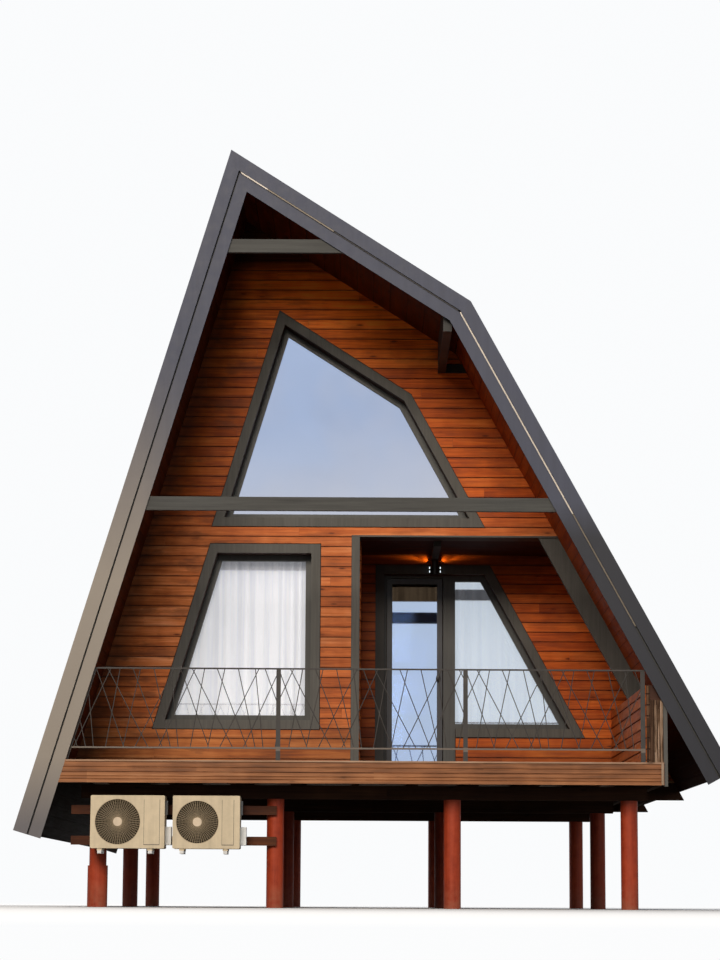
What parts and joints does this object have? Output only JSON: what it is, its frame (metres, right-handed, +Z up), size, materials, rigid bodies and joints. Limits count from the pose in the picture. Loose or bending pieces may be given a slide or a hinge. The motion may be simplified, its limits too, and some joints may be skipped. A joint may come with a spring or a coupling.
{
  "type": "a-frame cabin",
  "caption": "A-frame cabin with a lopsided kinked roof, a covered deck on round piers, slanted windows and a recessed glazed entrance.",
  "frame": {"origin": "centre of the outline seen from above, at the foot of the piers", "axes": "+X to the right along the front, +Y from the front to the back, +Z up"},
  "size_m": [7.26, 8.5, 7.834],
  "materials": {
    "pier_pipe": "sun-faded orange pipe",
    "frame_timber": "rough sawn, dark stained",
    "deck_timber": "oiled, worn",
    "floor_timber": "planed",
    "soffit_boards": "stained boards",
    "sheet_metal": "satin standing seam sheet",
    "grey_fascia": "satin folded sheet",
    "grey_timber": "painted grey, satin",
    "wall_boards": "stained boards with knots",
    "grey_trim": "painted grey, satin",
    "window_frame": "painted dark grey, satin",
    "window_glass": "clear double glazing",
    "curtain_cloth": "white sheer cloth",
    "rail_metal": "satin",
    "unit_casing": "satin powder coat",
    "guard_wire": "satin",
    "unit_timber": "stained",
    "bracket_steel": "galvanised",
    "black_metal": "satin black"
  },
  "bodies": {
    "cabin": {"piers": "pier_pipe", "bearers": "frame_timber", "floor_rims": "frame_timber", "floor_joists": "frame_timber", "deck_boards": "deck_timber", "deck_front_board": "deck_timber", "cabin_floor": "floor_timber", "loft_floor": "floor_timber", "roof_panel_left": "soffit_boards", "roof_panel_upper": "soffit_boards", "roof_panel_lower": "soffit_boards", "roof_sheet_left": "sheet_metal", "roof_sheet_upper": "sheet_metal", "roof_sheet_lower": "sheet_metal", "fascia_front": "grey_fascia", "fascia_back": "grey_fascia", "front_rafters": "grey_timber", "cross_beams": "grey_timber", "knee_purlin": "grey_timber", "front_wall_lower": "wall_boards", "front_wall_upper": "wall_boards", "corner_post": "grey_timber", "recess_side_wall": "wall_boards", "entrance_wall_left": "wall_boards", "entrance_wall_right": "wall_boards", "recess_rafter": "grey_timber", "recess_ceiling_beam": "grey_timber", "parapet": "wall_boards", "parapet_end_post": "grey_timber", "back_wall": "wall_boards", "window_trims": "grey_trim", "window_frames": "window_frame", "window_glass": "window_glass", "curtains": "curtain_cloth", "entrance_trim": "grey_trim", "entrance_frame": "window_frame", "wall_lamp": "black_metal", "railing": "rail_metal", "air_units": "unit_casing", "fan_guards": "guard_wire", "air_unit_rails": "unit_timber", "air_unit_brackets": "bracket_steel"},
    "door": {"door_leaf": "window_frame", "door_glass": "window_glass", "door_handle": "black_metal"}
  },
  "joints": [
    {"name": "door_hinge", "type": "hinge", "parent": "cabin", "child": "door", "pos_m": [0.15181, 0.018, 2.62], "axis": [0, 0, 1], "range_deg": [0, 90]}
  ]
}
